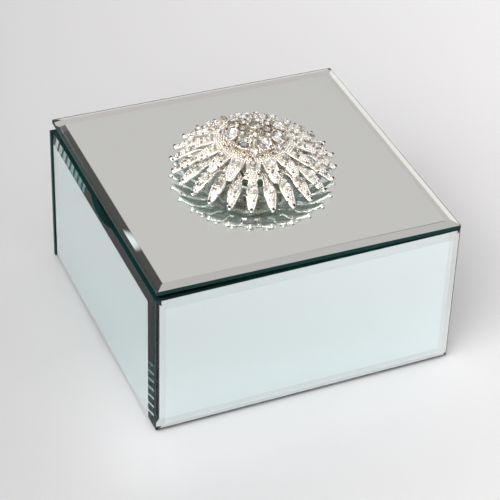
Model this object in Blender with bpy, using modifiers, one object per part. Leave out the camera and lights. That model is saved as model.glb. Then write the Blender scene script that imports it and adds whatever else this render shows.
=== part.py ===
"""A mirrored trinket box with a hinged lid and a jewelled sunburst brooch.

The box stands on the plane Z = 0, centred on the Z axis. Its front, with the thumb notch, faces -Y,
and the lid hinges at the rear, +Y. Lengths are in metres.
"""

from math import cos, pi, radians, sin, tau

import bmesh
import bpy
from mathutils import Matrix, Vector

MM = 0.001
GAP = 0.3 * MM                      # clearance between touching pieces

# Mirror glass: a bevel runs round each outer face, down to a ground edge.
GLASS = 3.0 * MM
EDGE = 1.75 * MM                    # height of the ground edge left under the bevel
BEVEL_WIDTH = 3.2 * MM

# Carcass, measured over the ground edges of the mirrors.
BOX_WIDTH = 119.6 * MM
BOX_DEPTH = 125.0 * MM
WALL_HEIGHT = 63.15 * MM
WALL_FOOT = 1.0 * MM                # the glass stops this far above the table
BOARD = 2.5 * MM
LINING = 0.9 * MM
FELT = 0.8 * MM
FLOOR_PAD = 3.0 * MM
RIM = 2.65 * MM                     # the boards stop this far below the top of the glass
LEFT_FORWARD = 1.0 * MM             # the left glass is set this far forward of the others

# Thumb notch in the top edge of the front mirror.
NOTCH_CHORD = 24.0 * MM
NOTCH_DEPTH = 2.2 * MM

# Lid, drawn level and then turned to its rest angle on the hinge axis.
LID_WIDTH = 120.3 * MM
LID_DEPTH = 124.5 * MM
LID_GAP = 0.6 * MM
LID_REST_ANGLE = radians(1.06)
LID_BOARD = 2.35 * MM
LID_BOARD_WIDTH = 114.4 * MM
LID_BOARD_FRONT = -59.8 * MM
LID_BOARD_REAR = 59.6 * MM
LID_PAD = 1.5 * MM
LID_PAD_WIDTH = 106.0 * MM
LID_PAD_FRONT = -54.0 * MM
LID_PAD_REAR = 55.0 * MM
BUMPER_RADIUS = 2.5 * MM
BUMPER_HEIGHT = 2.2 * MM
BUMPER_X = 48.0 * MM
BUMPER_Y = -57.5 * MM

# Hinges.
HINGE_X = 36.0 * MM
AXIS_Y = 62.0 * MM
AXIS_Z = 62.3 * MM
KNUCKLE_RADIUS = 1.2 * MM
PIN_RADIUS = 0.6 * MM
LEAF = 0.75 * MM
LEAF_HALF = 7.0 * MM
MIDDLE_KNUCKLE_HALF = 2.2 * MM
RELIEF_HALF = 8.0 * MM
RELIEF_FOOT = 52.5 * MM
SCREW_X = 4.5 * MM
SCREW_Z = 56.5 * MM
SCREW_RADIUS = 0.6 * MM
SCREW_REACH = 2.9 * MM
SCREW_HEAD_RADIUS = 1.5 * MM
SCREW_HEAD = 0.8 * MM

# Brooch: heights are above the lid's top face.
BROOCH_Y = 0.8 * MM
BROOCH_TURN = radians(-24.2)
RAYS = 24
PETALS = 16
BASKET_HOLES = 16
CROWN_STONES = 8
POST_RADIUS = 2.6 * MM
POST_TOP = 15.4 * MM
FOOT_RADIUS = 9.0 * MM
RAY_ROOT = (22.5 * MM, 7.6 * MM)    # radius, height
RAY_TIP = (31.6 * MM, 2.3 * MM)
PETAL_ROOT = (16.5 * MM, 11.5 * MM)
PETAL_TIP = (24.2 * MM, 9.5 * MM)
CROWN_RADIUS = 9.8 * MM
CROWN_GIRDLE = 18.2 * MM
CENTRE_GIRDLE = 21.2 * MM

# Derived places.
HALF_WIDTH = BOX_WIDTH / 2
HALF_DEPTH = BOX_DEPTH / 2
WALL_TOP = WALL_FOOT + WALL_HEIGHT
SIDE_BACK = HALF_WIDTH - EDGE                   # inner face of the side mirrors
END_BACK = HALF_DEPTH - EDGE                    # inner face of the front and rear mirrors
BOARD_X = SIDE_BACK - GAP                       # outer face of the side boards
BOARD_Y = END_BACK - GAP                        # outer face of the front and rear boards
BOARD_FOOT = FELT + GAP
BOARD_TOP = WALL_TOP - RIM
CAVITY_X = BOARD_X - BOARD - GAP
CAVITY_Y = BOARD_Y - BOARD - GAP
BASE_TOP = BOARD_FOOT + BOARD
LINING_FOOT = BASE_TOP + GAP
LINING_TOP = BOARD_TOP - GAP
LID_UNDERSIDE = WALL_TOP + LID_GAP
LID_TOP = LID_UNDERSIDE + GLASS
LID_BOARD_TOP = LID_UNDERSIDE - GAP
LID_BOARD_FOOT = LID_BOARD_TOP - LID_BOARD

SILVER = (0.80, 0.79, 0.76)
MIRROR = (0.82, 0.86, 0.84)
BOARD_GREY = (0.12, 0.12, 0.12)
VELVET = (0.015, 0.015, 0.018)
NICKEL = (0.62, 0.60, 0.56)
CRYSTAL = (0.92, 0.93, 0.95)
RUBBER = (0.70, 0.72, 0.72)


def empty_file():
    """Remove every object of the open scene."""
    for thing in list(bpy.data.objects):
        bpy.data.objects.remove(thing, do_unlink=True)


def new_collection(name):
    collection = bpy.data.collections.new(name)
    bpy.context.scene.collection.children.link(collection)
    return collection


empty_file()
PARTS = new_collection("trinket_box")
CUTTERS = new_collection("cutters")


def material(name, colour, roughness, metallic):
    finish = bpy.data.materials.new(name)
    finish.use_nodes = True
    shader = finish.node_tree.nodes["Principled BSDF"]
    shader.inputs["Base Color"].default_value = (*colour, 1.0)
    shader.inputs["Roughness"].default_value = roughness
    shader.inputs["Metallic"].default_value = metallic
    return finish


def place(name, shape, collection=PARTS):
    """Write a bmesh into a new object of that name."""
    mesh = bpy.data.meshes.new(name)
    shape.to_mesh(mesh)
    shape.free()
    thing = bpy.data.objects.new(name, mesh)
    collection.objects.link(thing)
    if collection == CUTTERS:
        thing.hide_render = True
        thing.display_type = 'WIRE'
    return thing


def box(name, low, high, collection=PARTS):
    """A rectangular block between two corners."""
    low, high = Vector(low), Vector(high)
    shape = bmesh.new()
    bmesh.ops.create_cube(shape, size=1.0)
    bmesh.ops.scale(shape, vec=high - low, verts=shape.verts)
    thing = place(name, shape, collection)
    thing.location = (low + high) / 2
    return thing


def rod(name, radius, start, end, sides, collection=PARTS):
    """A capped cylinder between two points."""
    start, end = Vector(start), Vector(end)
    shape = bmesh.new()
    bmesh.ops.create_cone(shape, cap_ends=True, segments=sides, radius1=radius, radius2=radius,
                          depth=(end - start).length)
    thing = place(name, shape, collection)
    thing.location = (start + end) / 2
    thing.rotation_euler = (end - start).to_track_quat('Z', 'Y').to_euler()
    return thing


def turned(name, profile, steps, smooth=True):
    """A profile of (radius, height) points turned round Z. The profile runs down its outer side."""
    shape = bmesh.new()
    points = [shape.verts.new((radius, 0.0, height)) for radius, height in profile]
    pairs = list(zip(points, points[1:]))
    if profile[0][0] > 0.0:
        pairs.append((points[-1], points[0]))
    for pair in pairs:
        shape.edges.new(pair)
    thing = place(name, shape)
    screw = thing.modifiers.new("turn", 'SCREW')
    screw.steps = steps
    screw.render_steps = steps
    screw.use_merge_vertices = True
    screw.merge_threshold = 0.00001
    screw.use_smooth_shade = smooth
    return thing


def bevelled_plate(name, width, height):
    """A mirror lying on XY with its silvered back at Z = 0 and a bevel round its outer face."""
    shape = bmesh.new()
    bmesh.ops.create_cube(shape, size=1.0)
    bmesh.ops.scale(shape, vec=(width, height, GLASS), verts=shape.verts)
    bmesh.ops.translate(shape, vec=(0.0, 0.0, GLASS / 2), verts=shape.verts)
    shape.faces.ensure_lookup_table()
    face = max(shape.faces, key=lambda candidate: candidate.calc_center_median().z)
    bmesh.ops.inset_region(shape, faces=[face], thickness=BEVEL_WIDTH, use_even_offset=True)
    for corner in shape.verts:
        if corner.co.z > EDGE and abs(corner.co.x) > width / 2 - BEVEL_WIDTH / 2:
            corner.co.z = EDGE
    return place(name, shape)


def combine(target, other, operation):
    """Cut another shape out of the target, or join it on."""
    step = target.modifiers.new(operation.lower(), 'BOOLEAN')
    step.operation = operation
    step.solver = 'EXACT'
    step.object = other


def cut(target, cutter):
    combine(target, cutter, 'DIFFERENCE')


def join(target, other):
    combine(target, other, 'UNION')


def smooth_edges(thing, width):
    """Round the edges of a soft or moulded block."""
    step = thing.modifiers.new("round", 'BEVEL')
    step.width = width
    step.segments = 2
    step.limit_method = 'ANGLE'


def finish(thing, look):
    thing.data.materials.append(look)
    return thing


def make_lid_axis():
    """The hinge axis, with the lid's rest angle on it."""
    axis = bpy.data.objects.new("lid_axis", None)
    PARTS.objects.link(axis)
    axis.location = (0.0, AXIS_Y, AXIS_Z)
    axis.rotation_euler = (-LID_REST_ANGLE, 0.0, 0.0)
    return axis


LID_AXIS = make_lid_axis()


def hang(thing):
    """Carry a piece that is drawn level on the lid's axis."""
    thing.parent = LID_AXIS
    thing.matrix_parent_inverse = Matrix.Translation((0.0, -AXIS_Y, -AXIS_Z))
    return thing


def make_mirrors():
    look = material("silvered_glass", MIRROR, 0.05, 1.0)
    end_width = 2 * (SIDE_BACK - GAP)
    middle = WALL_FOOT + WALL_HEIGHT / 2
    walls = {
        "front_mirror": (end_width, (0.0, -END_BACK), 0.0),
        "right_mirror": (BOX_DEPTH, (SIDE_BACK, 0.0), pi / 2),
        "rear_mirror": (end_width, (0.0, END_BACK), pi),
        "left_mirror": (BOX_DEPTH, (-SIDE_BACK, -LEFT_FORWARD), -pi / 2),
    }
    for name, (width, back, turn) in walls.items():
        wall = finish(bevelled_plate(name, width, WALL_HEIGHT), look)
        wall.rotation_euler = (pi / 2, 0.0, turn)
        wall.location = (*back, middle)

    notch_radius = (NOTCH_CHORD ** 2 / 4 + NOTCH_DEPTH ** 2) / (2 * NOTCH_DEPTH)
    notch_centre = WALL_TOP - NOTCH_DEPTH + notch_radius
    notch = rod("notch_cutter", notch_radius, (0.0, -HALF_DEPTH - 2 * GLASS, notch_centre),
                (0.0, -END_BACK + GLASS, notch_centre), 144, CUTTERS)
    cut(bpy.data.objects["front_mirror"], notch)

    for side, centre in hinge_sides():
        relief = box(f"relief_cutter_{side}", (centre - RELIEF_HALF, END_BACK - GLASS, RELIEF_FOOT),
                     (centre + RELIEF_HALF, HALF_DEPTH + 2 * GLASS, WALL_TOP + GLASS), CUTTERS)
        cut(bpy.data.objects["rear_mirror"], relief)

    lid = finish(bevelled_plate("lid_mirror", LID_WIDTH, LID_DEPTH), look)
    lid.location = (0.0, 0.0, LID_UNDERSIDE)
    hang(lid)


def hinge_sides():
    return (("left", -HINGE_X), ("right", HINGE_X))


def screw_places():
    """The X of each hinge screw, from left to right."""
    return [centre + offset for _, centre in hinge_sides() for offset in (-SCREW_X, SCREW_X)]


def make_boards():
    look = material("painted_board", BOARD_GREY, 0.8, 0.0)
    inner_x = BOARD_X - BOARD
    inner_y = BOARD_Y - BOARD
    for name, sign in (("left_board", -1), ("right_board", 1)):
        edges = sorted((sign * BOARD_X, sign * inner_x))
        finish(box(name, (edges[0], -BOARD_Y, BOARD_FOOT), (edges[1], BOARD_Y, BOARD_TOP)), look)
    for name, sign in (("front_board", -1), ("rear_board", 1)):
        edges = sorted((sign * BOARD_Y, sign * inner_y))
        finish(box(name, (-CAVITY_X, edges[0], BOARD_FOOT), (CAVITY_X, edges[1], BOARD_TOP)), look)
    finish(box("base_board", (-CAVITY_X, -CAVITY_Y, BOARD_FOOT), (CAVITY_X, CAVITY_Y, BASE_TOP)), look)

    for number, centre in enumerate(screw_places(), 1):
        hole = rod(f"screw_cutter_{number}", SCREW_RADIUS + GAP, (centre, inner_y - BOARD, SCREW_Z),
                   (centre, BOARD_Y + BOARD, SCREW_Z), 16, CUTTERS)
        cut(bpy.data.objects["rear_board"], hole)

    lid_board = finish(box("lid_board", (-LID_BOARD_WIDTH / 2, LID_BOARD_FRONT, LID_BOARD_FOOT),
                           (LID_BOARD_WIDTH / 2, LID_BOARD_REAR, LID_BOARD_TOP)), look)
    hang(lid_board)
    for side, centre in hinge_sides():
        pocket = box(f"pocket_cutter_{side}",
                     (centre - LEAF_HALF - GAP, LID_BOARD_REAR - 9 * MM, LID_BOARD_TOP - LEAF - 2 * GAP),
                     (centre + LEAF_HALF + GAP, LID_BOARD_REAR + BOARD, LID_BOARD_TOP + BOARD), CUTTERS)
        hang(pocket)
        cut(lid_board, pocket)


def make_linings():
    look = material("velvet", VELVET, 0.95, 0.0)
    end_half = CAVITY_X - LINING - GAP
    for name, sign in (("left_lining", -1), ("right_lining", 1)):
        edges = sorted((sign * CAVITY_X, sign * (CAVITY_X - LINING)))
        finish(box(name, (edges[0], -CAVITY_Y, LINING_FOOT), (edges[1], CAVITY_Y, LINING_TOP)), look)
    for name, sign in (("front_lining", -1), ("rear_lining", 1)):
        edges = sorted((sign * CAVITY_Y, sign * (CAVITY_Y - LINING)))
        finish(box(name, (-end_half, edges[0], LINING_FOOT), (end_half, edges[1], LINING_TOP)), look)

    pad_y = CAVITY_Y - LINING - GAP
    pad = finish(box("floor_pad", (-end_half, -pad_y, LINING_FOOT),
                     (end_half, pad_y, LINING_FOOT + FLOOR_PAD)), look)
    smooth_edges(pad, 1.0 * MM)

    lid_pad = finish(box("lid_lining", (-LID_PAD_WIDTH / 2, LID_PAD_FRONT, LID_BOARD_FOOT - GAP - LID_PAD),
                         (LID_PAD_WIDTH / 2, LID_PAD_REAR, LID_BOARD_FOOT - GAP)), look)
    smooth_edges(lid_pad, 0.6 * MM)
    hang(lid_pad)

    felt_inset = 1.0 * MM
    finish(box("base_felt", (felt_inset - BOARD_X, felt_inset - BOARD_Y, 0.0),
               (BOARD_X - felt_inset, BOARD_Y - felt_inset, FELT)), look)


def make_bumpers():
    look = material("clear_rubber", RUBBER, 0.3, 0.0)
    top = LID_BOARD_FOOT - GAP
    foot = top - BUMPER_HEIGHT
    profile = [(0.0, top), (BUMPER_RADIUS, top), (0.8 * BUMPER_RADIUS, foot + 0.2 * BUMPER_HEIGHT),
               (0.5 * BUMPER_RADIUS, foot), (0.0, foot)]
    for side, sign in (("left", -1), ("right", 1)):
        bumper = finish(turned(f"lid_bumper_{side}", profile, 24), look)
        bumper.location = (sign * BUMPER_X, BUMPER_Y, 0.0)
        hang(bumper)


def make_hinges():
    look = material("nickel", NICKEL, 0.3, 1.0)
    plate_back = BOARD_Y + GAP
    for side, centre in hinge_sides():
        leaf = finish(box(f"hinge_box_leaf_{side}", (centre - LEAF_HALF, plate_back, RELIEF_FOOT + 1.0 * MM),
                          (centre + LEAF_HALF, plate_back + LEAF, AXIS_Z - 0.7 * MM)), look)
        middle = MIDDLE_KNUCKLE_HALF + GAP
        relief = box(f"knuckle_cutter_{side}", (centre - middle, plate_back - LEAF, AXIS_Z - 1.6 * MM),
                     (centre + middle, plate_back + 2 * LEAF, AXIS_Z), CUTTERS)
        cut(leaf, relief)
        for end, sign in (("a", -1), ("b", 1)):
            knuckle = rod(f"knuckle_{side}_{end}", KNUCKLE_RADIUS, (centre + sign * middle, AXIS_Y, AXIS_Z),
                          (centre + sign * LEAF_HALF, AXIS_Y, AXIS_Z), 24, CUTTERS)
            join(leaf, knuckle)
        bore = rod(f"bore_cutter_{side}", PIN_RADIUS + GAP, (centre - 2 * LEAF_HALF, AXIS_Y, AXIS_Z),
                   (centre + 2 * LEAF_HALF, AXIS_Y, AXIS_Z), 20, CUTTERS)
        cut(leaf, bore)
        for offset in (-SCREW_X, SCREW_X):
            hole = rod(f"leaf_cutter_{side}_{'a' if offset < 0 else 'b'}", SCREW_RADIUS + GAP,
                       (centre + offset, plate_back - LEAF, SCREW_Z),
                       (centre + offset, plate_back + 2 * LEAF, SCREW_Z), 16, CUTTERS)
            cut(leaf, hole)

        leaf_top = LID_BOARD_TOP - GAP
        lid_leaf = finish(box(f"hinge_lid_leaf_{side}",
                              (centre - LEAF_HALF + GAP, LID_BOARD_REAR - 8.4 * MM, leaf_top - LEAF),
                              (centre + LEAF_HALF - GAP, LID_BOARD_REAR + GAP, leaf_top)), look)
        hang(lid_leaf)
        neck = box(f"neck_{side}",
                   (centre - 0.9 * MIDDLE_KNUCKLE_HALF, LID_BOARD_REAR - LEAF, leaf_top - LEAF),
                   (centre + 0.9 * MIDDLE_KNUCKLE_HALF, AXIS_Y + 0.6 * MM, leaf_top), CUTTERS)
        web = box(f"web_{side}", (centre - 0.8 * MIDDLE_KNUCKLE_HALF, AXIS_Y - 0.6 * MM, AXIS_Z),
                  (centre + 0.8 * MIDDLE_KNUCKLE_HALF, AXIS_Y + 0.5 * MM, leaf_top - LEAF / 2), CUTTERS)
        barrel = rod(f"barrel_{side}", KNUCKLE_RADIUS, (centre - MIDDLE_KNUCKLE_HALF, AXIS_Y, AXIS_Z),
                     (centre + MIDDLE_KNUCKLE_HALF, AXIS_Y, AXIS_Z), 24, CUTTERS)
        for other in (neck, web, barrel):
            hang(other)
            join(lid_leaf, other)
        cut(lid_leaf, bore)

        finish(rod(f"hinge_pin_{side}", PIN_RADIUS, (centre - LEAF_HALF - GAP, AXIS_Y, AXIS_Z),
                   (centre + LEAF_HALF + GAP, AXIS_Y, AXIS_Z), 20), look)


def make_screws():
    look = material("screw_steel", NICKEL, 0.35, 1.0)
    seat = BOARD_Y + GAP + LEAF + GAP
    profile = [(0.0, SCREW_HEAD), (0.6 * SCREW_HEAD_RADIUS, 0.85 * SCREW_HEAD),
               (SCREW_HEAD_RADIUS, 0.25 * SCREW_HEAD), (SCREW_HEAD_RADIUS, 0.0), (SCREW_RADIUS, 0.0),
               (SCREW_RADIUS, -0.8 * SCREW_REACH), (0.0, -SCREW_REACH)]
    for number, centre in enumerate(screw_places(), 1):
        screw = finish(turned(f"hinge_screw_{number}", profile, 16), look)
        screw.location = (centre, seat, SCREW_Z)
        screw.rotation_euler = (-pi / 2, 0.0, 0.0)


def seat_on_lid(thing, radius=0.0, angle=0.0, height=0.0):
    """Place a brooch piece at a radius, angle and height over the lid's face, as the brooch is turned."""
    angle += BROOCH_TURN
    thing.location = (radius * cos(angle), BROOCH_Y + radius * sin(angle), LID_TOP + height)
    thing.rotation_euler = (0.0, 0.0, BROOCH_TURN)
    return hang(thing)


def spokes(name, count, root, tip, widths, flatness):
    """Tapered bars that slope from a root circle to a tip circle."""
    shape = bmesh.new()
    run = Vector((tip[0] - root[0], 0.0, tip[1] - root[1]))
    flatten = Matrix.Diagonal((1.0, flatness, 1.0, 1.0))
    lean = run.to_track_quat('Z', 'Y').to_matrix().to_4x4()
    centre = Matrix.Translation(((tip[0] + root[0]) / 2, 0.0, (tip[1] + root[1]) / 2))
    for number in range(count):
        turn = Matrix.Rotation(number * tau / count, 4, 'Z')
        bmesh.ops.create_cone(shape, cap_ends=True, segments=8, radius1=widths[0], radius2=widths[1],
                              depth=run.length, matrix=turn @ centre @ lean @ flatten)
    return place(name, shape, CUTTERS)


def beads(name, count, spot, radius):
    """Round beads on a circle, given as (radius, height)."""
    shape = bmesh.new()
    for number in range(count):
        turn = Matrix.Rotation(number * tau / count, 4, 'Z')
        bmesh.ops.create_uvsphere(shape, u_segments=8, v_segments=5, radius=radius,
                                  matrix=turn @ Matrix.Translation((spot[0], 0.0, spot[1])))
    return place(name, shape, CUTTERS)


def cups(name, count, radius, foot, top, width):
    """Upright round cups on a circle, the settings of small stones."""
    shape = bmesh.new()
    for number in range(count):
        angle = number * tau / count
        spot = Matrix.Translation((radius * cos(angle), radius * sin(angle), (foot + top) / 2))
        bmesh.ops.create_cone(shape, cap_ends=True, segments=8, radius1=width, radius2=width,
                              depth=top - foot, matrix=spot)
    return place(name, shape, CUTTERS)


def make_tier(name, profile, additions, look):
    """A turned dish with spokes and cups joined on."""
    dish = finish(turned(name, profile, 40), look)
    seat_on_lid(dish)
    for other in additions:
        seat_on_lid(other)
        join(dish, other)
    return dish


def make_brooch():
    look = material("rhodium_silver", SILVER, 0.2, 1.0)
    hub = POST_RADIUS + GAP
    foot = finish(turned("brooch_foot", [(0.0, POST_TOP), (POST_RADIUS, POST_TOP), (POST_RADIUS, 1.2 * MM),
                                         (FOOT_RADIUS, 1.2 * MM), (FOOT_RADIUS, GAP), (0.0, GAP)], 40), look)
    seat_on_lid(foot)

    make_tier("brooch_ray_tier",
              [(hub, 8.2 * MM), (14 * MM, 8.8 * MM), (21 * MM, 8.6 * MM), (24 * MM, 7.6 * MM),
               (24 * MM, 6.6 * MM), (21 * MM, 7.6 * MM), (14 * MM, 7.8 * MM), (hub, 7.2 * MM)],
              [spokes("ray_spokes", RAYS, RAY_ROOT, RAY_TIP, (2.2 * MM, 0.9 * MM), 0.6),
               cups("ray_cups", RAYS, 25.6 * MM, 5.3 * MM, 7.4 * MM, 1.5 * MM),
               beads("ray_beads", RAYS, RAY_TIP, 1.05 * MM)], look)
    make_tier("brooch_petal_tier",
              [(hub, 12.2 * MM), (12 * MM, 12.7 * MM), (17 * MM, 12.0 * MM), (18.5 * MM, 11.3 * MM),
               (18.5 * MM, 10.5 * MM), (17 * MM, 11.2 * MM), (12 * MM, 11.9 * MM), (hub, 11.4 * MM)],
              [spokes("petal_spokes", PETALS, PETAL_ROOT, PETAL_TIP, (2.3 * MM, 0.8 * MM), 0.4),
               cups("petal_cups", PETALS, 16.9 * MM, 11.6 * MM, 13.2 * MM, 1.4 * MM)], look)

    basket = finish(turned("brooch_crown_basket",
                           [(12.2 * MM, 16.8 * MM), (9.6 * MM, 13.1 * MM), (hub, 13.1 * MM), (hub, 13.9 * MM),
                            (9.0 * MM, 13.9 * MM), (11.4 * MM, 16.8 * MM)], 48), look)
    seat_on_lid(basket)
    shape = bmesh.new()
    wall = Vector((2.6, 0.0, 3.7)).normalized()
    outward = Vector((wall.z, 0.0, -wall.x))
    lean = outward.to_track_quat('Z', 'Y').to_matrix().to_4x4()
    centre = Matrix.Translation((10.6 * MM, 0.0, 15.2 * MM))
    for number in range(BASKET_HOLES):
        turn = Matrix.Rotation((number + 0.5) * tau / BASKET_HOLES, 4, 'Z')
        bmesh.ops.create_cone(shape, cap_ends=True, segments=10, radius1=1.25 * MM, radius2=1.25 * MM,
                              depth=4 * MM, matrix=turn @ centre @ lean)
    holes = place("basket_cutter", shape, CUTTERS)
    seat_on_lid(holes)
    cut(basket, holes)

    plate = finish(turned("brooch_crown_plate",
                          [(0.0, 19.2 * MM), (4.0 * MM, 19.2 * MM), (5.8 * MM, 16.3 * MM),
                           (10.2 * MM, 16.3 * MM), (10.2 * MM, 15.7 * MM), (0.0, 15.7 * MM)], 40), look)
    seat_on_lid(plate)


def gem_profile(radius):
    """A round brilliant: table, crown, girdle and pavilion."""
    return [(0.0, 0.36 * radius), (0.58 * radius, 0.36 * radius), (radius, 0.03 * radius),
            (radius, -0.03 * radius), (0.0, -0.5 * radius)]


def make_stones():
    look = material("crystal", CRYSTAL, 0.05, 0.0)
    centre = finish(turned("centre_stone", gem_profile(3.4 * MM), 12, smooth=False), look)
    seat_on_lid(centre, height=CENTRE_GIRDLE)
    for number in range(CROWN_STONES):
        angle = (number + 0.5) * tau / CROWN_STONES
        stone = finish(turned(f"crown_stone_{number + 1}", gem_profile(2.9 * MM), 12, smooth=False), look)
        seat_on_lid(stone, CROWN_RADIUS, angle, CROWN_GIRDLE)


make_mirrors()
make_boards()
make_linings()
make_bumpers()
make_hinges()
make_screws()
make_brooch()
make_stones()
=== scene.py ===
"""Looks for the mirrored trinket box: bevelled glass, velvet and the jewelled sunburst brooch."""

import bmesh
import bpy
import numpy as np
from mathutils import Matrix, Vector


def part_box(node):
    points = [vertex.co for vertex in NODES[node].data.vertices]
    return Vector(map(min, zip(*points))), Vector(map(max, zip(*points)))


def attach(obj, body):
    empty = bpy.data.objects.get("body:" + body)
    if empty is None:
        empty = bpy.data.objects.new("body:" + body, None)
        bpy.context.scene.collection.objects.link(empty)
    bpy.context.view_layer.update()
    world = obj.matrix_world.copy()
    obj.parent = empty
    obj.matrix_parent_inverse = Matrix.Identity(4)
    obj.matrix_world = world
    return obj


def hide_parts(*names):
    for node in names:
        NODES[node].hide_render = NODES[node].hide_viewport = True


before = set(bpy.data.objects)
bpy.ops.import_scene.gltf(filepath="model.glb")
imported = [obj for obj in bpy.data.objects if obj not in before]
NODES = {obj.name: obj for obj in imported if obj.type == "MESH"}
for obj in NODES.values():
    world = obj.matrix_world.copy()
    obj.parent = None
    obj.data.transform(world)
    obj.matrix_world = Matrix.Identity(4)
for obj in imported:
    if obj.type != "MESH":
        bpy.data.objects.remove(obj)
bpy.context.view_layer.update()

MM = 0.001
TURN = 2 * np.pi

# The lid hangs on this axis, and rests a little open on its bumpers. The brooch stands on its top.
AXIS = np.array([0.0, 62.0, 62.3]) * MM
LID_TILT = np.radians(1.06)
LID_TOP = 67.75 * MM
BROOCH_Y = 0.8 * MM
BROOCH_PHASE = np.radians(-24.2)


# ---------------------------------------------------------------- shader nodes

class Wire:
    """An output socket that takes arithmetic; each operation adds a Math node to its tree."""

    def __init__(self, tree, socket):
        self.tree, self.socket = tree, socket

    def math(self, operation, *terms, clamp=False):
        node = self.tree.nodes.new("ShaderNodeMath")
        node.operation = operation
        node.use_clamp = clamp
        for slot, term in zip(node.inputs, terms):
            plug(self.tree, slot, term)
        return Wire(self.tree, node.outputs[0])

    def __add__(self, other):
        return self.math("ADD", self, other)

    def __sub__(self, other):
        return self.math("SUBTRACT", self, other)

    def __mul__(self, other):
        return self.math("MULTIPLY", self, other)

    def __truediv__(self, other):
        return self.math("DIVIDE", self, other)

    def __pow__(self, other):
        return self.math("POWER", self, other)

    def __rsub__(self, other):
        return self.math("SUBTRACT", other, self)

    def clamp(self):
        return self.math("ADD", self, 0.0, clamp=True)


def plug(tree, slot, value):
    """Links a wire into a socket, or sets the socket's own value."""
    if isinstance(value, Wire):
        tree.links.new(value.socket, slot)
    elif isinstance(value, tuple) and len(value) == 3 and slot.type == "RGBA":
        slot.default_value = (*value, 1.0)
    else:
        slot.default_value = value


class Tree:
    """A node tree with one method that adds any node."""

    def __init__(self, tree):
        self.tree = tree

    def add(self, kind, settings=None, sockets=None, out=0):
        node = self.tree.nodes.new("ShaderNode" + kind)
        for key, value in (settings or {}).items():
            if key == "stops":
                ramp = node.color_ramp.elements
                while len(ramp) < len(value):
                    ramp.new(0.5)
                for stop, (place, colour) in zip(ramp, value):
                    stop.position, stop.color = place, (*colour, 1.0)
            else:
                setattr(node, key, value)
        for key, value in (sockets or {}).items():
            plug(self.tree, node.inputs[key], value)
        return Wire(self.tree, node.outputs[out])

    def coords(self):
        return self.add("TexCoord", out=3)

    def axes(self, vector):
        parts = self.tree.nodes.new("ShaderNodeSeparateXYZ")
        plug(self.tree, parts.inputs[0], vector)
        return [Wire(self.tree, socket) for socket in parts.outputs]

    def noise(self, scale, detail=3.0, stretch=None):
        where = self.coords()
        if stretch:
            where = self.add("Mapping", None, {"Vector": where, "Scale": stretch})
        return self.add("TexNoise", None, {"Vector": where, "Scale": scale, "Detail": detail})

    def blend(self, mask, first, second):
        """Colour that runs from the first to the second as the mask rises."""
        return self.add("Mix", {"data_type": "RGBA"}, {0: mask, 6: first, 7: second}, out=2)


class Finish(Tree):
    """A material: constants go on the shader's own sockets, and only what varies is wired."""

    def __init__(self, name, **constants):
        self.material = bpy.data.materials.new(name)
        self.material.use_nodes = True
        super().__init__(self.material.node_tree)
        self.shader = self.tree.nodes["Principled BSDF"]
        self.output = self.tree.nodes["Material Output"]
        for key, value in constants.items():
            self.set(key.replace("_", " ").title().replace("Ior", "IOR"), value)

    def set(self, name, value):
        plug(self.tree, self.shader.inputs[name], value)

    def bump(self, height, distance, strength):
        self.set("Normal", self.add("Bump", None, {"Height": height, "Distance": distance,
                                                   "Strength": strength}))


def polished_glass():
    """Clear float glass with its faint green, taken up along the light's path through it. On the
    bevels the glass is tinted darker and warmer, which dims what shows through them: painted shade."""
    look = Finish("clear_float_glass", roughness=0.0, ior=1.52, specular_ior_level=0.28,
                  transmission_weight=1.0)
    bevel = look.add("Attribute", {"attribute_name": "bevel"}, out=2)
    # Painted shade: the bevel faces take a darker, warmer tint than the flat faces.
    look.set("Base Color", look.blend(bevel, (1.0, 1.0, 1.0), (0.87, 0.82, 0.815)))
    look.set("Roughness", (look.noise(240.0, 2.0) - 0.68).clamp() * 0.08)
    depth = look.add("VolumeAbsorption", None, {"Color": (0.20, 0.86, 0.89), "Density": 24.0})
    look.tree.links.new(depth.socket, look.output.inputs["Volume"])
    return look.material


def silvering():
    """The silver coat on the back of the glass, with a very faint unevenness."""
    look = Finish("silvering", metallic=1.0, roughness=0.0)
    look.set("Base Color", look.blend(look.noise(14.0), (0.93, 0.935, 0.925), (0.95, 0.95, 0.94)))
    return look.material


def dimmed_silver_bevel():
    """The lid's near bevel as silver of a darker grey with faint wheel marks, so that it reads as one
    even, dim tone: painted shade in place of its reflection.
    """
    look = Finish("dimmed_silver_bevel", metallic=1.0, roughness=0.1)
    wheel = look.noise(70.0, 3.0, (1.0, 0.2, 1.0))
    # Painted shade: this grey is far darker than the silvering.
    look.set("Base Color", look.blend(wheel, (0.50, 0.50, 0.485), (0.60, 0.60, 0.58)))
    return look.material


def ground_edge():
    """The ground edge of the glass: dark green, a little frosted, streaked along its length."""
    look = Finish("ground_edge", roughness=0.3, specular_ior_level=0.05)
    streak = look.noise(60.0, 4.0, (1.0, 1.0, 6.0))
    look.set("Base Color", look.blend(streak, (0.004, 0.020, 0.019), (0.010, 0.042, 0.039)))
    look.set("Roughness", streak * 0.25 + 0.18)
    return look.material


def painted_board():
    """Fibreboard under thin black paint, streaked along its grain."""
    look = Finish("painted_board", roughness=0.8, specular_ior_level=0.25)
    fibre = look.noise(420.0, 5.0, (1.0, 1.0, 2.5))
    look.set("Base Color", look.blend(fibre, (0.010, 0.010, 0.011), (0.026, 0.025, 0.024)))
    look.set("Roughness", fibre * 0.3 + 0.6)
    look.bump(fibre, 0.0001, 0.5)
    return look.material


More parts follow.
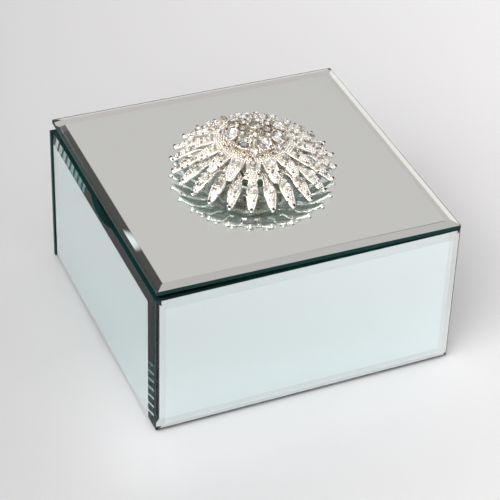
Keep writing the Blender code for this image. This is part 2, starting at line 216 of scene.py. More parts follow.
def velvet():
    """Black velvet: brushed patches lie light or dark, over a fine pile."""
    look = Finish("black_velvet", roughness=0.95, specular_ior_level=0.1, sheen_weight=0.45,
                  sheen_roughness=0.35, sheen_tint=(0.75, 0.76, 0.82))
    brushed = look.noise(38.0, 3.0, (1.0, 2.2, 1.0))
    pile = look.noise(2600.0, 2.0)
    tone = (brushed * 0.65 + pile * 0.5).clamp()
    look.set("Base Color", look.blend(tone, (0.0035, 0.0035, 0.0045), (0.022, 0.022, 0.027)))
    look.bump(pile * 0.6 + brushed * 0.4, 0.00025, 0.8)
    return look.material


def felt():
    """Black felt: matt, with short fibres that catch a little light."""
    look = Finish("black_felt", roughness=1.0, specular_ior_level=0.1, sheen_weight=0.2)
    fibre = look.noise(1500.0, 4.0)
    look.set("Base Color", look.blend(fibre, (0.004, 0.004, 0.005), (0.03, 0.03, 0.032)))
    look.bump(fibre, 0.0002, 0.8)
    return look.material


def clear_rubber():
    """Cloudy clear rubber, not quite smooth."""
    look = Finish("clear_rubber", roughness=0.25, ior=1.45, transmission_weight=0.7)
    mottle = look.noise(300.0)
    look.set("Base Color", look.blend(mottle, (0.62, 0.64, 0.62), (0.78, 0.79, 0.76)))
    look.set("Roughness", mottle * 0.2 + 0.18)
    return look.material


def nickel(name, bright, grain):
    """Plated steel with fine rubbing marks along its length."""
    look = Finish(name, metallic=1.0, roughness=0.28)
    rub = look.noise(900.0, 4.0, grain)
    look.set("Base Color", look.blend(rub, tuple(0.8 * c for c in bright), bright))
    look.set("Roughness", rub * 0.22 + 0.16)
    look.bump(rub, 0.00002, 0.4)
    return look.material


def rhodium():
    """The brooch's bright plate, a little darker where the casting is rough."""
    look = Finish("rhodium_plate", metallic=1.0, roughness=0.2)
    cast = look.noise(1400.0, 3.0)
    look.set("Base Color", look.blend(cast, (0.76, 0.70, 0.62), (0.98, 0.94, 0.87)))
    look.set("Roughness", cast * 0.25 + 0.12)
    look.bump(cast, 0.00006, 0.6)
    return look.material


def painted_light_underside():
    """The underside of the castings, coloured pale and nearly matt so that it reads as lit where the
    mirror shows it: painted light on a shaded side.
    """
    look = Finish("painted_light_underside", metallic=0.15, roughness=0.5)
    cast = look.noise(1100.0, 3.0)
    # Painted light: a pale colour on the shaded underside.
    look.set("Base Color", look.blend(cast, (0.78, 0.75, 0.70), (0.95, 0.93, 0.89)))
    look.set("Roughness", cast * 0.3 + 0.35)
    return look.material


def shaded_plate():
    """The stones' seats, coloured darker than the plate: painted shade under the stones' rims."""
    look = Finish("shaded_plate", metallic=1.0, roughness=0.3)
    cast = look.noise(1600.0, 3.0)
    look.set("Base Color", look.blend(cast, (0.42, 0.37, 0.31), (0.82, 0.77, 0.69)))
    look.set("Roughness", cast * 0.2 + 0.2)
    return look.material


def crystal():
    """Clear cut crystal, dulled in a few small patches."""
    look = Finish("cut_crystal", base_color=(0.985, 0.985, 0.98), roughness=0.0, ior=1.56,
                  transmission_weight=1.0)
    look.set("Roughness", (look.noise(500.0) - 0.6).clamp() * 0.06)
    return look.material


def foil():
    """The mirror foil behind a crystal, coloured in bright and dark patches that stand for the
    surroundings it reflects: painted reflection.
    """
    look = Finish("crystal_foil", metallic=1.0, roughness=0.03)
    # Painted reflection: the dark patches stand for dark surroundings seen in the foil.
    mottle = ((look.noise(520.0, 1.0) - 0.41) * 7.0).clamp()
    look.set("Base Color", look.blend(mottle, (0.30, 0.27, 0.23), (1.0, 0.99, 0.97)))
    return look.material


def pave_stone():
    """Small foiled stones; each carries a tone given by chance, from near black to clear: painted
    reflections of dark and bright surroundings.
    """
    look = Finish("pave_stones", metallic=1.0, roughness=0.06)
    tone = look.add("Attribute", {"attribute_name": "tone"}, out=2)
    # Painted reflection: the tone stands for what each stone reflects.
    look.set("Base Color", look.add(
        "ValToRGB", {"stops": [(0.0, (0.05, 0.035, 0.035)), (0.14, (0.30, 0.25, 0.23)),
                               (0.3, (0.84, 0.78, 0.71)), (0.7, (0.98, 0.94, 0.88)),
                               (1.0, (1.0, 0.98, 0.94))]}, {"Fac": tone}))
    look.set("Roughness", tone * 0.1 + 0.04)
    return look.material


# ---------------------------------------------------------------- mesh helpers

class Shape:
    """Vertex and face arrays that grow into one mesh; faces are quads or triangles."""

    def __init__(self):
        self.points, self.faces, self.looks, self.tones, self.total = [], [], [], [], 0

    def add(self, points, faces, look=0, tone=1.0):
        points = np.asarray(points, float).reshape(-1, 3)
        faces = np.asarray(faces)
        self.points.append(points)
        self.faces.append(faces + self.total)
        self.looks.append(np.broadcast_to(look, len(faces)))
        self.tones.append(np.broadcast_to(tone, len(points)))
        self.total += len(points)
        return self

    def cover(self, start, faces, look):
        """Adds faces to points that are already there, from the given one on."""
        self.faces.append(faces + start)
        self.looks.append(np.broadcast_to(look, len(faces)))

    def piece(self, name, body, slot, looks, stands_for=(), smooth=None, place=None):
        """Makes the object, on its body, in place of its CAD nodes. The place function carries the
        points into the frame; edges sharper than smooth, in degrees, stay sharp."""
        points = np.concatenate(self.points)
        if place is not None:
            points = place(points)
        mesh = bpy.data.meshes.new(name)
        sizes = np.concatenate([np.full(len(f), f.shape[1]) for f in self.faces])
        mesh.vertices.add(len(points))
        mesh.vertices.foreach_set("co", points.ravel())
        mesh.loops.add(int(sizes.sum()))
        mesh.loops.foreach_set("vertex_index", np.concatenate([f.ravel() for f in self.faces]))
        mesh.polygons.add(len(sizes))
        mesh.polygons.foreach_set("loop_start", np.concatenate([[0], np.cumsum(sizes)[:-1]]))
        for look in looks:
            mesh.materials.append(look)
        mesh.polygons.foreach_set("material_index", np.concatenate(self.looks).astype(np.int32))
        tone = mesh.attributes.new("tone", "FLOAT", "POINT")
        tone.data.foreach_set("value", np.concatenate(self.tones))
        mesh.update(calc_edges=True)
        if smooth is not None:
            mesh.shade_smooth()
            mesh.set_sharp_from_angle(angle=np.radians(smooth))
        thing = bpy.data.objects.new(name, mesh)
        bpy.context.scene.collection.objects.link(thing)
        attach(thing, body)
        if stands_for:
            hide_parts(*stands_for)
        return thing


def lattice(rows, columns, closed=True):
    """Quads of a grid of rows by columns, joined round the columns when closed."""
    wrap = columns if closed else columns - 1
    row, column = np.meshgrid(np.arange(rows - 1), np.arange(wrap), indexing="ij")
    here, there = row * columns + column, row * columns + (column + 1) % columns
    return np.stack([here, there, there + columns, here + columns], -1).reshape(-1, 4)


def tube(rings):
    """Closed skin over rings of points (rows, columns, 3), with a centre point closing each end."""
    rows, columns = rings.shape[:2]
    points = np.concatenate([rings.reshape(-1, 3), rings[0].mean(0)[None], rings[-1].mean(0)[None]])
    ring = np.arange(columns)
    after = (ring + 1) % columns
    last_ring, first_pole, last_pole = (rows - 1) * columns, rows * columns, rows * columns + 1
    caps = np.concatenate([
        np.stack([np.full(columns, first_pole), after, ring], -1),
        np.stack([np.full(columns, last_pole), last_ring + ring, last_ring + after], -1)])
    return points, lattice(rows, columns), caps


def add_tube(shape, rings):
    """Adds a tube's sides and its two caps on shared points."""
    points, sides, caps = tube(rings)
    start = shape.total
    shape.add(points, sides)
    shape.cover(start, caps, 0)


def loop_faces(rows, columns):
    """Quads of a ring-shaped skin: the last ring of the section joins the first."""
    last_ring, ring = (rows - 1) * columns, np.arange(columns)
    after = (ring + 1) % columns
    closing = np.stack([last_ring + ring, last_ring + after, after, ring], -1)
    return np.concatenate([lattice(rows, columns), closing])[:, ::-1]


def turned_rings(profile, steps):
    """Rings of a profile of (radius, height) turned round Z."""
    angle = np.arange(steps) * TURN / steps
    radius, height = np.array(profile, float).T[:, :, None]
    return np.stack(np.broadcast_arrays(radius * np.cos(angle), radius * np.sin(angle), height), -1)


def spread(points, faces, frames, offsets):
    """Copies of a small shape: one for each 3 by 3 frame, whose rows are its axes, and offset."""
    count = len(offsets)
    placed = np.einsum("ni,kij->knj", points, frames) + offsets[:, None]
    moved = faces[None] + (np.arange(count) * len(points))[:, None, None]
    return placed.reshape(-1, 3), moved.reshape(-1, faces.shape[1])


def frames_from(normals):
    """Right-handed frames whose third axis is the normal."""
    normals = normals / np.linalg.norm(normals, axis=-1, keepdims=True)
    guide = np.where(np.abs(normals[:, 2:]) < 0.9, [[0.0, 0.0, 1.0]], [[1.0, 0.0, 0.0]])
    side = np.cross(guide, normals)
    side /= np.linalg.norm(side, axis=-1, keepdims=True)
    return np.stack([side, np.cross(normals, side), normals], 1)


def tilt(points):
    """The level lid's coordinates turned round the hinge axis to its rest angle."""
    y, z = points[:, 1] - AXIS[1], points[:, 2] - AXIS[2]
    cos, sin = np.cos(LID_TILT), np.sin(LID_TILT)
    return np.stack([points[:, 0], y * cos + z * sin + AXIS[1], z * cos - y * sin + AXIS[2]], -1)


def on_lid(points):
    """Brooch coordinates, heights over the lid's top face, carried to the lid at its rest angle."""
    cos, sin = np.cos(BROOCH_PHASE), np.sin(BROOCH_PHASE)
    x, y, z = points.T
    return tilt(np.stack([x * cos - y * sin, x * sin + y * cos + BROOCH_Y, z + LID_TOP], -1))


def polar(radius, angle, height):
    """Points from polar coordinates round Z."""
    return np.stack(np.broadcast_arrays(radius * np.cos(angle), radius * np.sin(angle), height), -1)


# ---------------------------------------------------------------- glass and carcass

MIRROR_LOOKS = [polished_glass(), silvering(), ground_edge(), dimmed_silver_bevel()]
POLISHED, SILVERED, GROUND, DIMMED_BEVEL = range(4)
MERGE, RIM_MERGE = 0.000002, 0.0000005
ARRIS = 0.00009
LEFT_LAP = -62.3 * MM
# Neighbouring faces are one flat below the first angle, and meet at a corner above the second.
FLATNESS, CORNER = np.radians(0.3), np.radians(8)
# Cosines between a face's normal and the side the glass faces: fronts and bevels lie above the
# first, bevels below the second, and the silvered back below the third. The lid's near bevel leans
# towards +X by more than the last.
FRONT, FLAT, BACK = 0.8, 0.99, -0.95
NEAR_BEVEL = 0.2


def mirror(node, outward, lap=None):
    """The CAD glass with flat polygons, a hairline arris on every edge, and a finish for each face:
    polished where it faces outwards, silvered behind, ground round the edge. The dark of the edge may
    lap round onto the back, from the front as far as the given Y."""
    source = NODES[node]
    shape = bmesh.new()
    shape.from_mesh(source.data)
    bmesh.ops.remove_doubles(shape, verts=shape.verts, dist=MERGE)
    bmesh.ops.dissolve_limit(shape, angle_limit=FLATNESS, verts=shape.verts, edges=shape.edges)
    sharp = [edge for edge in shape.edges if edge.calc_face_angle(0.0) > CORNER]
    bmesh.ops.bevel(shape, geom=sharp, offset=ARRIS, segments=1, affect="EDGES", clamp_overlap=True)
    outward = Vector(outward)
    if lap is not None:
        bmesh.ops.bisect_plane(shape, geom=shape.verts[:] + shape.edges[:] + shape.faces[:],
                               plane_co=(0, lap, 0), plane_no=(0, 1, 0))
    for face in shape.faces:
        lean = face.normal.dot(outward)
        face.smooth = False
        face.material_index = POLISHED if lean > FRONT else GROUND
        if lean < BACK and (lap is None or face.calc_center_median().y > lap):
            face.material_index = SILVERED
        # The lid's near bevel takes the darker silver: painted shade.
        if node == "lid_mirror" and lean > FRONT and face.normal.x > NEAR_BEVEL:
            face.material_index = DIMMED_BEVEL
    bevels = [float(FRONT < face.normal.dot(outward) < FLAT) for face in shape.faces]
    mesh = bpy.data.meshes.new(node + "_glass")
    shape.to_mesh(mesh)
    shape.free()
    mesh.attributes.new("bevel", "FLOAT", "FACE").data.foreach_set("value", bevels)
    for look in MIRROR_LOOKS:
        mesh.materials.append(look)
    thing = bpy.data.objects.new(node + "_glass", mesh)
    bpy.context.scene.collection.objects.link(thing)
    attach(thing, "lid" if node.startswith("lid") else "base")
    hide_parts(node)
    return thing


def dress(names, look, width):
    """A CAD node keeps its shape, with its edges eased by a small bevel and a new finish."""
    for name in names:
        node = NODES[name]
        node.data.materials.clear()
        node.data.materials.append(look)
        join = node.modifiers.new("weld", "WELD")
        join.merge_threshold = MERGE
        ease = node.modifiers.new("ease", "BEVEL")
        ease.width = width
        ease.segments = 2
        ease.limit_method = "ANGLE"
        ease.angle_limit = np.radians(35)


def corners(node):
    """The low and high corners of a CAD node's box."""
    low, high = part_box(node)
    return np.array(low), np.array(high)


def cushion(low, high, cells, round_edge, crown=0.0, dimple=0.0):
    """Closed pad between two corners: two grids that meet at a rim. At a distance d from the rim the
    half thickness is scaled by a quarter round, sqrt(1 - (1 - d / round_edge)^2), or by 1 further in.
    The upper grid sinks from its middle to its rim by crown times 1 - (1 - a^2)(1 - b^2), with a and
    b running from -1 to 1 across it, and ripples by dimple times the product of two slow sines."""
    size, middle = high - low, (high + low) / 2
    thin = int(np.argmin(size))
    u_axis, v_axis = [axis for axis in range(3) if axis != thin]
    steps = np.linspace(-1, 1, cells)
    steps = np.sign(steps) * (1 - (1 - np.abs(steps)) ** 1.6)
    a, b = np.meshgrid(steps, steps, indexing="ij")
    rim = np.minimum(size[u_axis] / 2 * (1 - np.abs(a)), size[v_axis] / 2 * (1 - np.abs(b)))
    edge = np.sqrt(np.clip(1 - (1 - np.clip(rim / round_edge, 0, 1)) ** 2, 0, 1))
    ripple = dimple * np.sin(7.3 * a + 2.1 * b + 0.6) * np.sin(5.9 * b - 1.7 * a + 1.3)
    half = size[thin] / 2
    grid = np.zeros((2, cells, cells, 3))
    grid[..., u_axis] = middle[u_axis] + a * size[u_axis] / 2
    grid[..., v_axis] = middle[v_axis] + b * size[v_axis] / 2
    sink = crown * (1 - (1 - a ** 2) * (1 - b ** 2))
    grid[0, ..., thin] = middle[thin] + edge * (half - sink + ripple)
    grid[1, ..., thin] = middle[thin] - edge * half
    sheet = lattice(cells, cells, closed=False)
    flip = thin == 1
    top = sheet[:, ::-1] if flip else sheet
    under = (sheet if flip else sheet[:, ::-1]) + cells * cells
    return grid.reshape(-1, 3), np.concatenate([top, under])


def close_rim(thing):
    """Joins the two faces of a pad where they meet at its rim."""
    shape = bmesh.new()
    shape.from_mesh(thing.data)
    bmesh.ops.remove_doubles(shape, verts=shape.verts, dist=RIM_MERGE)
    shape.to_mesh(thing.data)
    shape.free()


def pad(name, node, skin, look, body="base", slot="velvet", place=None):
    """A padded piece, made of a cushion's points and faces, in place of its CAD node."""
    thing = Shape().add(*skin).piece(name, body, slot, [look], [node], 60, place)
    close_rim(thing)


def make_box():
    """The five glasses, the boards behind them and the hinges."""
    mirror("front_mirror", (0, -1, 0))
    mirror("rear_mirror", (0, 1, 0))
    mirror("right_mirror", (1, 0, 0))
    mirror("left_mirror", (-1, 0, 0), LEFT_LAP)
    mirror("lid_mirror", (0, np.sin(LID_TILT), np.cos(LID_TILT)))
    dress(["front_board", "rear_board", "left_board", "right_board", "base_board", "lid_board"],
          painted_board(), 0.0003)
    dress([f"hinge_{kind}_leaf_{side}" for kind in ("box", "lid") for side in ("left", "right")],
          nickel("nickel_leaf", (0.72, 0.69, 0.64), (1.0, 4.0, 4.0)), 0.00012)
    dress(["hinge_pin_left", "hinge_pin_right"],
          nickel("nickel_pin", (0.66, 0.63, 0.58), (1.0, 5.0, 5.0)), 0.0001)


def make_soft_goods():
    """Cushions on the box's walls and floor, under the lid and under the base. The lid's cushion is
    turned over, so that its ripples hang down."""
    pile, cloth = velvet(), felt()
    for name in ("front_lining", "rear_lining", "left_lining", "right_lining"):
        skin = cushion(*corners(name), 60, round_edge=0.0008, dimple=0.00005)
        pad(name + "_velvet", name, skin, pile)
    skin = cushion(*corners("floor_pad"), 110, round_edge=0.0028, crown=0.0008, dimple=0.00018)
    pad("floor_cushion", "floor_pad", skin, pile)
    low, high = np.array([-53.0, -54.0, 60.3]) * MM, np.array([53.0, 55.0, 61.8]) * MM
    points, faces = cushion(low, high, 90, round_edge=0.0014, dimple=0.0001)
    points[:, 2] = low[2] + high[2] - points[:, 2]
    pad("lid_cushion", "lid_lining", (points, faces[:, ::-1]), pile, "lid", place=tilt)
    skin = cushion(*corners("base_felt"), 40, round_edge=0.0004)
    pad("felt_foot", "base_felt", skin, cloth, slot="felt")


def make_bumpers():
    """A clear dome that hangs under the lid. Its radius falls from the foot as cos(t)^0.8 while its
    depth grows as sin(t), and a small flat closes the nose."""
    look = clear_rubber()
    top, nose, foot, rim = 61.8 * MM, 59.6 * MM, 2.5 * MM, 0.3 * MM
    profile = [(2.4 * MM, top)]
    for t in np.linspace(0, np.pi / 2, 9)[:-1]:
        profile.append((foot * np.cos(t) ** 0.8, top - rim - (top - nose - rim) * np.sin(t)))
    profile.append((0.15 * MM, nose))
    for side, x in (("left", -48.0), ("right", 48.0)):
        shape = Shape()
        add_tube(shape, turned_rings(profile, 28)[:, ::-1] + np.array([x * MM, -57.5 * MM, 0.0]))
        shape.piece(f"bumper_dome_{side}", "lid", "clear_rubber", [look],
                    [f"lid_bumper_{side}"], 35, tilt)


def make_screws():
    """A countersunk screw on a polar grid: a low dome sunk along a cross, deepest at the middle, then
    the head's straight rim and the shank."""
    look = nickel("screw_steel", (0.62, 0.6, 0.56), (3.0, 3.0, 3.0))
    head, shank, proud, length = 1.5 * MM, 0.6 * MM, 0.8 * MM, 2.7 * MM
    slot_reach, slot_half, slot_depth = 0.85 * MM, 0.17 * MM, 0.45 * MM
    radius = np.concatenate([np.linspace(0.02, 1.1, 14) * MM, np.array([1.28, 1.42]) * MM,
                             [head, head, shank, shank]])
    r, a = np.meshgrid(radius, np.arange(64) * TURN / 64, indexing="ij")
    x, y = r * np.cos(a), r * np.sin(a)
    dome = proud - 0.25 * MM * (r / head) ** 2
    cross = (np.minimum(np.abs(x), np.abs(y)) < slot_half) & (r < slot_reach)
    height = np.where(cross, dome - slot_depth * (1 - r / MM), dome)
    height[-3:-1], height[-1] = 0.0, -length
    for number in range(1, 5):
        low, high = corners(f"hinge_screw_{number}")
        centre = (low + high) / 2
        rings = np.stack([centre[0] + x, high[1] - proud + height, centre[2] - y], -1)
        shape = Shape()
        add_tube(shape, rings[::-1])
        shape.piece(f"cross_screw_{number}", "base", "screw_steel", [look],
                    [f"hinge_screw_{number}"], 30)


# ---------------------------------------------------------------- brooch

BROOCH_LOOKS = [rhodium(), shaded_plate(), pave_stone(), crystal(), foil(), painted_light_underside()]
PLATE, SHADED, PAVE, CRYSTAL, FOIL, UNDERSIDE = range(6)
chance = np.random.default_rng(11)

RAYS, PETALS, CROWN, ARMS = 24, 16, 8, 8
CHATON_LIFT = 0.95 * MM
# Section of a stone's seat, in stone radii: lip, collar and the cup's outer and inner walls.
BEZEL = [(0.97, -0.02), (1.12, 0.04), (1.14, -0.12), (0.8, -0.85), (0.62, -0.85), (0.9, -0.14)]


def brilliant():
    """A round brilliant of radius 1 with its girdle at 0: table, stars, kites and girdle facets above,
    a pavilion below. The table, star and pavilion rings have 8 points and the girdle's two have 16;
    the star and pavilion rings are turned half a step."""
    eighth, sixteenth = np.arange(8) * TURN / 8, np.arange(16) * TURN / 16
    points = np.concatenate([
        polar(0.0, 0.0, 0.40)[None], polar(0.54, eighth, 0.40), polar(0.78, eighth + TURN / 16, 0.24),
        polar(1.0, sixteenth, 0.03), polar(1.0, sixteenth, -0.03),
        polar(0.45, eighth + TURN / 16, -0.42), polar(0.0, 0.0, -0.62)[None]])
    table, star, girdle, under, deep, culet = 1, 9, 17, 33, 49, 57
    k, n = np.arange(8), (np.arange(8) + 1) % 8
    j, m = np.arange(16), (np.arange(16) + 1) % 16
    crown = np.concatenate([
        np.stack([0 * k, table + k, table + n], -1), np.stack([table + k, star + k, table + n], -1),
        np.stack([star + k, girdle + 2 * k, girdle + 2 * k + 1], -1),
        np.stack([star + k, girdle + 2 * k + 1, girdle + (2 * k + 2) % 16], -1),
        np.stack([table + n, star + k, girdle + (2 * k + 2) % 16], -1),
        np.stack([table + n, girdle + (2 * k + 2) % 16, star + n], -1),
        np.stack([girdle + j, under + j, under + m], -1),
        np.stack([girdle + j, under + m, girdle + m], -1)])
    pavilion = np.concatenate([
        np.stack([under + 2 * k, deep + k, under + 2 * k + 1], -1),
        np.stack([under + 2 * k + 1, deep + k, under + (2 * k + 2) % 16], -1),
        np.stack([under + (2 * k + 2) % 16, deep + k, culet + 0 * k], -1),
        np.stack([under + (2 * k + 2) % 16, culet + 0 * k, deep + n], -1)])
    return points, crown, pavilion


def small_stone():
    """A single cut stone of radius 1: eight-sided table, crown and skirt, closed below."""
    ring = np.arange(8) * TURN / 8
    points = np.concatenate([
        polar(0.0, 0.0, 0.5)[None], polar(0.52, ring, 0.5), polar(1.0, ring + TURN / 16, 0.06),
        polar(0.9, ring, -0.5), polar(0.0, 0.0, -0.5)[None]])
    table, girdle, skirt, base = 1, 9, 17, 25
    k, n = np.arange(8), (np.arange(8) + 1) % 8
    faces = np.concatenate([
        np.stack([0 * k, table + k, table + n], -1),
        np.stack([table + k, girdle + k, table + n], -1),
        np.stack([table + n, girdle + k, girdle + n], -1),
        np.stack([girdle + k, skirt + n, girdle + n], -1),
        np.stack([girdle + k, skirt + k, skirt + n], -1),
        np.stack([base + 0 * k, skirt + n, skirt + k], -1)])
    return points, faces


def ball():
    """A ball of radius 1 in triangles, a little flat at its poles."""
    ring = np.arange(8) * TURN / 8
    latitudes = np.linspace(np.pi / 2 - 0.25, -np.pi / 2 + 0.25, 5)
    rings = np.stack([polar(np.cos(t), ring, np.sin(t)) for t in latitudes])
    points, sides, caps = tube(rings[:, ::-1])
    return points, np.concatenate([sides[:, :3], sides[:, [0, 2, 3]], caps])


def set_stones(shape, places, normals, radius, prongs):
    """Brilliants at their places, each in a bezel with prong beads over its girdle."""
    places = np.atleast_2d(places)
    frames = frames_from(np.atleast_2d(normals)) * radius
    points, crown, pavilion = brilliant()
    start = shape.total
    shape.add(*spread(points, crown, frames, places), CRYSTAL)
    shape.cover(start, spread(points, pavilion, frames, places)[1], FOIL)
    seat = turned_rings(BEZEL, 16).reshape(-1, 3)
    shape.add(*spread(seat, loop_faces(len(BEZEL), 16), frames, places), SHADED)
    points, faces = ball()
    for bead in polar(1.0, (np.arange(prongs) + 0.5) * TURN / prongs, 0.1):
        where = places + np.einsum("i,kij->kj", bead, frames)
        shape.add(*spread(points * 0.15, faces, frames, where), PLATE)


def strew(shape, places, normals, radius, dark):
    """Small stones, each turned and toned by chance; dark is the share coloured dark, a painted
    reflection of dark surroundings.
    """
    count = len(places)
    frames = frames_from(normals + chance.normal(0, 0.13, (count, 3)))
    size = radius * chance.uniform(0.9, 1.06, count)
    # Painted reflection: these stones are coloured dark as if they reflected dark surroundings.
    dark_reflecting = chance.random(count) < dark
    tone = np.where(dark_reflecting, chance.uniform(0.0, 0.16, count), chance.uniform(0.3, 1.0, count))
    points, faces = small_stone()
    shape.add(*spread(points, faces, frames * size[:, None, None], places), PAVE,
              np.repeat(tone, len(points)))


class Blade:
    """A domed bar that runs out from the hub. Along it a smooth curve gives the radius, the height and
    the half width, all in millimetres; across it, with t from -1 to 1, the section is a flattened
    arch: lift = dome sqrt(1 - t^2)."""

    def __init__(self, path, widths, dome):
        self.path, self.widths, self.dome = np.array(path) * MM, np.array(widths) * MM, dome * MM
        steps = np.linalg.norm(np.diff(self.path, axis=0), axis=1)
        self.length = np.concatenate([[0], np.cumsum(steps)])

    def spine(self, along):
        """Radius, height, half width, and the radial and vertical parts of the blade's direction, at a
        distance along it."""
        fine = np.linspace(0, self.length[-1], 80)
        radius, height, width = (smooth_curve(self.length, column, fine)
                                 for column in (*self.path.T, self.widths))
        slope = np.stack([np.gradient(radius, fine), np.gradient(height, fine)], -1)
        slope /= np.linalg.norm(slope, axis=-1, keepdims=True)
        return [np.interp(along, fine, column) for column in (radius, height, width, *slope.T)]

    def at(self, along, across):
        """Points on the arch and the directions that stones set there face, with X outwards. They lean
        to the sides less than the arch does."""
        radius, height, width, run, fall = self.spine(along)
        rise = np.sqrt(np.clip(1 - across ** 2, 0, 1))
        lift = self.dome * rise
        points = np.stack([radius - fall * lift, width * across, height + run * lift], -1)
        normal = np.stack([-fall * (0.35 + rise), across * 0.9, run * (0.35 + rise)], -1)
        return points, normal / np.linalg.norm(normal, axis=-1, keepdims=True)

    def rings(self):
        """Section rings from root to tip: the arch above, a flat underside below."""
        rows, columns, thick = 14, 10, 0.7 * MM
        along = np.linspace(0, self.length[-1], rows)
        across = np.cos(np.linspace(0, np.pi, columns))
        a, t = np.meshgrid(along, across, indexing="ij")
        top, _ = self.at(a, t)
        radius, height, width, run, fall = self.spine(a)
        under = np.stack([radius + fall * thick, width * t[:, ::-1] * 0.92, height - run * thick], -1)
        return np.concatenate([top, under], 1)


def smooth_curve(knots, values, at):
    """Cubic through the knots with slopes taken from their neighbours."""
    slopes = np.gradient(values, knots)
    index = np.clip(np.searchsorted(knots, at) - 1, 0, len(knots) - 2)
    span = knots[index + 1] - knots[index]
    t = (at - knots[index]) / span
    start, end, leave, arrive = values[index], values[index + 1], slopes[index], slopes[index + 1]
    return ((2 * t ** 3 - 3 * t ** 2 + 1) * start + (t ** 3 - 2 * t ** 2 + t) * span * leave
            + (3 * t ** 2 - 2 * t ** 3) * end + (t ** 3 - t ** 2) * span * arrive)


def around(points, count):
    """The same points turned to each of count places round the centre, one copy after the other."""
    angle = np.arange(count) * TURN / count
    cos, sin = np.cos(angle)[:, None], np.sin(angle)[:, None]
    x, y, z = points.T
    return np.stack([x * cos - y * sin, x * sin + y * cos, z + 0 * cos], -1).reshape(-1, 3)


def pave_rows(blade, start, end, pitch, margin):
    """Stone places in staggered rows along a blade, as many across as its width takes. The rows stand
    a little closer than the stones in them, so that they nest."""
    along, across = [], []
    rows = int((end - start) / (pitch * 0.92))
    for row in range(rows + 1):
        here = start + (end - start) * row / rows
        width = blade.spine(here)[2] - margin
        fit = max(1, int(2 * width / pitch + 1.05))
        if fit > 1 and (fit + row) % 2:
            fit -= 1
        along.append(np.full(fit, here))
        across.append(np.linspace(-1, 1, fit) * width / (width + margin) if fit > 1 else np.zeros(1))
    return blade.at(np.concatenate(along), np.concatenate(across))


# The three kinds of blade: the lower tier's rays and arms, and the upper tier's petals.
RAY = Blade([(18.5, 8.4), (21.5, 8.1), (25.4, 6.6), (29.0, 4.3), (31.6, 2.3), (32.5, 1.6)],
            [1.6, 1.5, 2.5, 1.85, 1.05, 0.5], 0.75)
ARM = Blade([(4.0, 8.1), (8.0, 8.2), (12.0, 8.3), (17.0, 8.4)], [0.8, 0.7, 0.7, 0.9], 0.4)
PETAL = Blade([(11.5, 13.4), (14.0, 13.3), (17.2, 12.4), (20.5, 10.9), (23.4, 9.3), (24.2, 8.8)],
              [2.2, 2.6, 2.9, 2.3, 1.4, 0.6], 0.8)


def blades(shape, blade, count):
    """All the copies of a blade round the centre, plated above, with the pale underside finish below:
    painted light.
    """
    rings = blade.rings()
    points, sides, caps = tube(rings)
    rows, columns = rings.shape[:2]
    below = np.tile(np.arange(columns) >= columns // 2, rows - 1)
    steps = (np.arange(count) * len(points))[:, None, None]
    start = shape.total
    shape.add(around(points, count), (sides + steps).reshape(-1, 4),
              np.tile(np.where(below, UNDERSIDE, PLATE), count))
    shape.cover(start, (caps + steps).reshape(-1, 3), PLATE)


def pave_blades(shape, blade, count, start, end, pitch, stone, margin, dark):
    """Small stones along all the copies of a blade, from start to end along it, in millimetres."""
    points, normals = pave_rows(blade, start * MM, end * MM, pitch * MM, margin * MM)
    strew(shape, around(points, count), around(normals, count), stone * MM, dark)


def set_blades(shape, blade, count, along, stone):
    """One larger stone on each copy of a blade, raised on its seat and leaning less than the blade."""
    place, normal = blade.at(np.array([along * MM]), np.array([0.0]))
    set_stones(shape, around(place + normal * CHATON_LIFT, count), around(normal * [0.6, 1, 1], count),
               stone * MM, 4)


def ring_of(shape, radius, height, count, stone, lean, phase=0.0):
    """A ring of small stones whose tables lean outwards. The phase is in steps of the ring."""
    angle = (np.arange(count) + phase) * TURN / count
    strew(shape, polar(radius * MM, angle, height * MM), polar(np.sin(lean), angle, np.cos(lean)),
          stone * MM, 0.1)


def set_ring(shape, radius, height, angle, lean, stone, prongs):
    """Larger stones at one or more angles round the centre, whose tables lean outwards."""
    set_stones(shape, polar(radius * MM, angle, height * MM), polar(np.sin(lean), angle, np.cos(lean)),
               stone * MM, prongs)


def dish(shape, section):
    """A plated ring whose closed section is given as (radius, height) in millimetres."""
    rings = turned_rings(np.array(section) * MM, 96)
    shape.add(rings.reshape(-1, 3), loop_faces(*rings.shape[:2]), PLATE)


def make_ray_tier():
    """The lower tier: a jewelled ring on eight thin arms, and long domed rays, each with one larger
    stone and a dark eye set in the bead at its tip."""
    shape = Shape()
    dish(shape, [(13.6, 8.9), (19.0, 8.75), (19.5, 8.3), (19.0, 7.9), (13.6, 8.0), (13.2, 8.4)])
    blades(shape, ARM, ARMS)
    dish(shape, [(3.2, 8.6), (5.0, 8.6), (5.0, 7.6), (3.2, 7.6)])
    blades(shape, RAY, RAYS)
    pave_blades(shape, RAY, RAYS, 1.2, 4.4, pitch=0.84, stone=0.44, margin=0.05, dark=0.1)
    pave_blades(shape, RAY, RAYS, 8.8, 14.4, pitch=0.82, stone=0.43, margin=0.15, dark=0.16)
    ring_of(shape, 18.8, 9.0, 128, stone=0.5, lean=0.15)
    ring_of(shape, 17.8, 9.1, 120, stone=0.5, lean=0.15, phase=0.5)
    ring_of(shape, 16.8, 9.1, 112, stone=0.5, lean=0.15)
    set_blades(shape, RAY, RAYS, along=7.1, stone=1.5)
    tip, normal = RAY.at(np.array([RAY.length[-1] - 0.9 * MM]), np.array([0.0]))
    frames = frames_from(around(normal, RAYS))
    for (points, faces), size, lift, look, tone in ((ball(), 0.95, -0.25, PLATE, 1.0),
                                                    (small_stone(), 0.6, 0.6, PAVE, 0.02)):
        tips = around(tip + normal * lift * MM, RAYS)
        shape.add(*spread(points * size * MM, faces, frames, tips), look, tone)
    shape.piece("sunburst_rays", "lid", "rhodium_silver", BROOCH_LOOKS, ["brooch_ray_tier"],
                place=on_lid)


